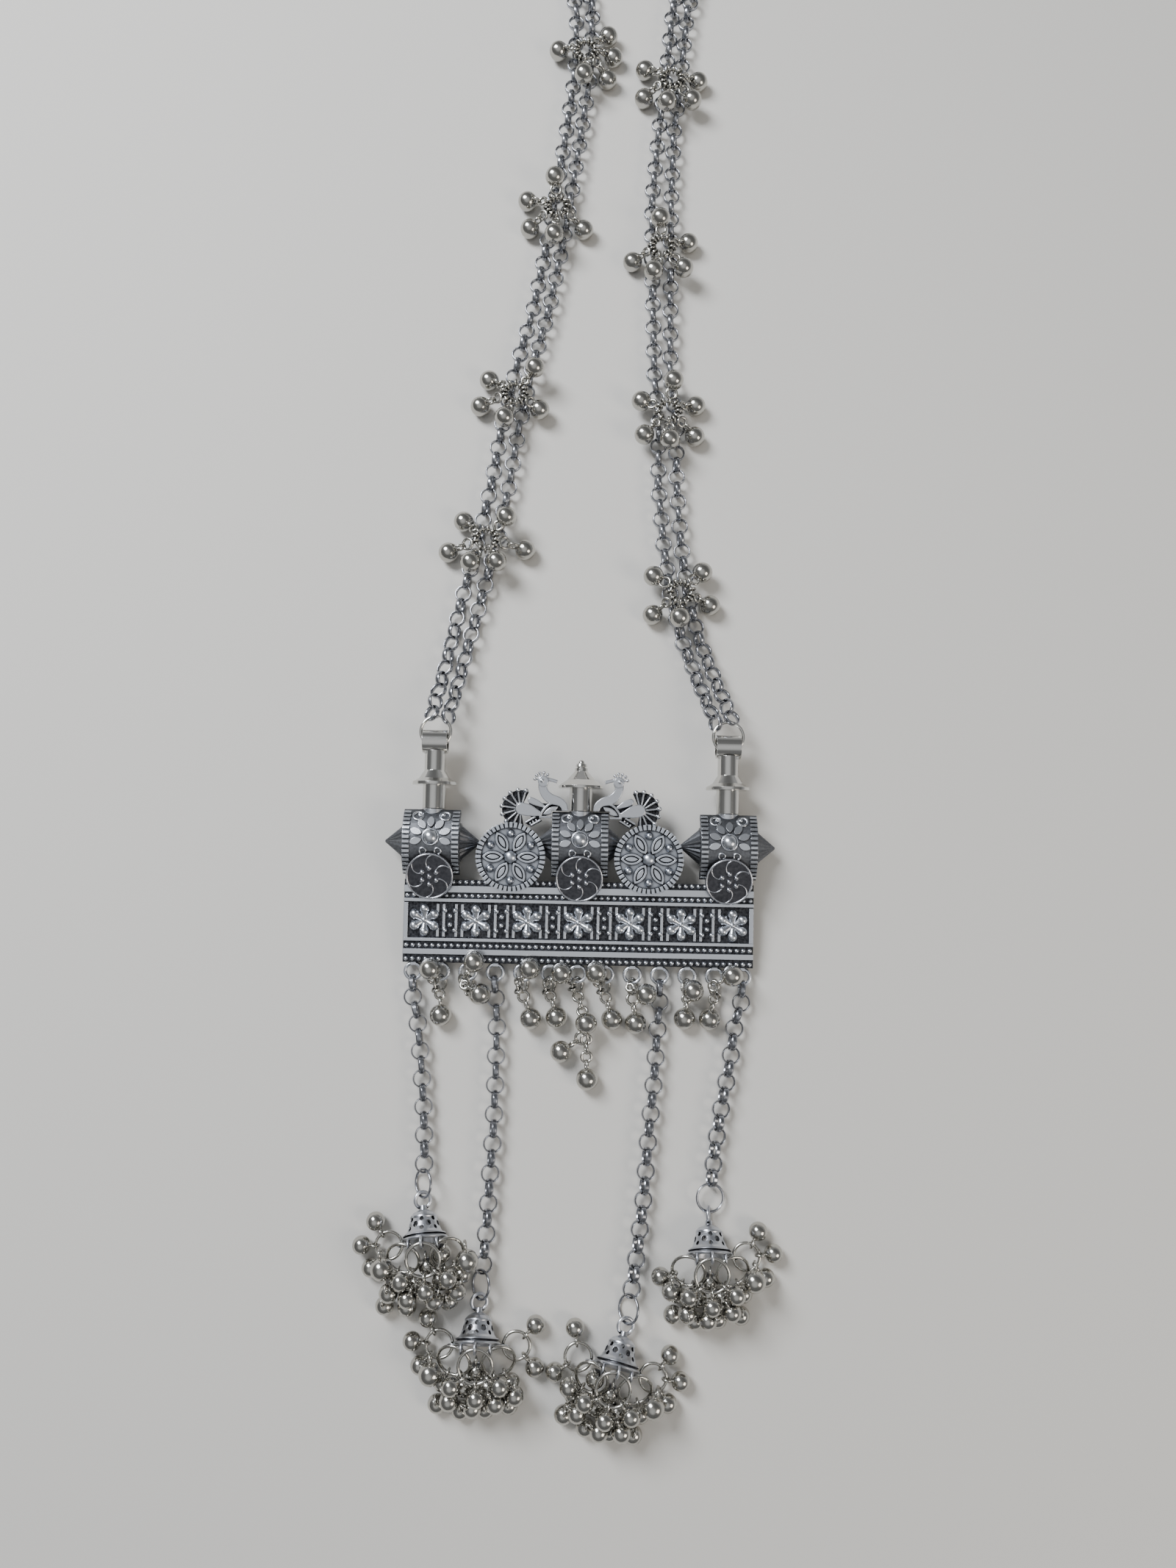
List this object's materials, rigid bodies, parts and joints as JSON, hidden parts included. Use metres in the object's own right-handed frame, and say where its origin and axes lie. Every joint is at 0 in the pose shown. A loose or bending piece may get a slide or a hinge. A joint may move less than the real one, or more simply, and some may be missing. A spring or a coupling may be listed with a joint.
{
  "type": "long necklace",
  "caption": "Long necklace: flat bar pendant with drums, round medallions and peacocks, bell fringe and drop chains, on a double link chain with bell clusters.",
  "frame": {"origin": "centre of the whole necklace in plan, on the surface it lies on", "axes": "+X along the bar to its right end as seen from the front, +Y from the bell caps to the clasp, +Z off the surface towards the pendant's front"},
  "size_m": [0.0972, 0.4699, 0.0113],
  "materials": {
    "oxidised_silver": "polished relief with dark recesses",
    "dark_rosette": "blackened, polished edges",
    "plain_silver": "mirror polished",
    "chain_metal": "polished dark silver",
    "bell_metal": "polished",
    "cap_metal": "pierced, dark recesses"
  },
  "bodies": {
    "root": {"bar": "oxidised_silver", "drum_left": "oxidised_silver", "drum_centre": "oxidised_silver", "drum_right": "oxidised_silver", "rosette_left": "dark_rosette", "rosette_centre": "dark_rosette", "rosette_right": "dark_rosette", "medallion_left": "oxidised_silver", "medallion_right": "oxidised_silver", "peacock_left": "oxidised_silver", "peacock_right": "oxidised_silver", "stem_left": "plain_silver", "stem_right": "plain_silver", "finial": "plain_silver", "ring_left": "plain_silver", "ring_right": "plain_silver", "chain_left_a": "chain_metal", "chain_left_a_back": "chain_metal", "chain_left_b": "chain_metal", "chain_left_b_back": "chain_metal", "chain_right_a": "chain_metal", "chain_right_a_back": "chain_metal", "chain_right_b": "chain_metal", "chain_right_b_back": "chain_metal", "clasp": "chain_metal", "cluster_left_1": "bell_metal", "cluster_left_2": "bell_metal", "cluster_left_3": "bell_metal", "cluster_left_4": "bell_metal", "cluster_right_1": "bell_metal", "cluster_right_2": "bell_metal", "cluster_right_3": "bell_metal", "cluster_right_4": "bell_metal", "fringe_1": "bell_metal", "fringe_2": "bell_metal", "fringe_3": "bell_metal", "fringe_4": "bell_metal", "fringe_5": "bell_metal", "fringe_6": "bell_metal", "fringe_7": "bell_metal", "fringe_8": "bell_metal", "fringe_9": "bell_metal", "drop_chain_1": "chain_metal", "drop_chain_2": "chain_metal", "drop_chain_3": "chain_metal", "drop_chain_4": "chain_metal", "cap_1": "cap_metal", "cap_2": "cap_metal", "cap_3": "cap_metal", "cap_4": "cap_metal", "cap_bells_1": "bell_metal", "cap_bells_2": "bell_metal", "cap_bells_3": "bell_metal", "cap_bells_4": "bell_metal"}
  },
  "joints": []
}
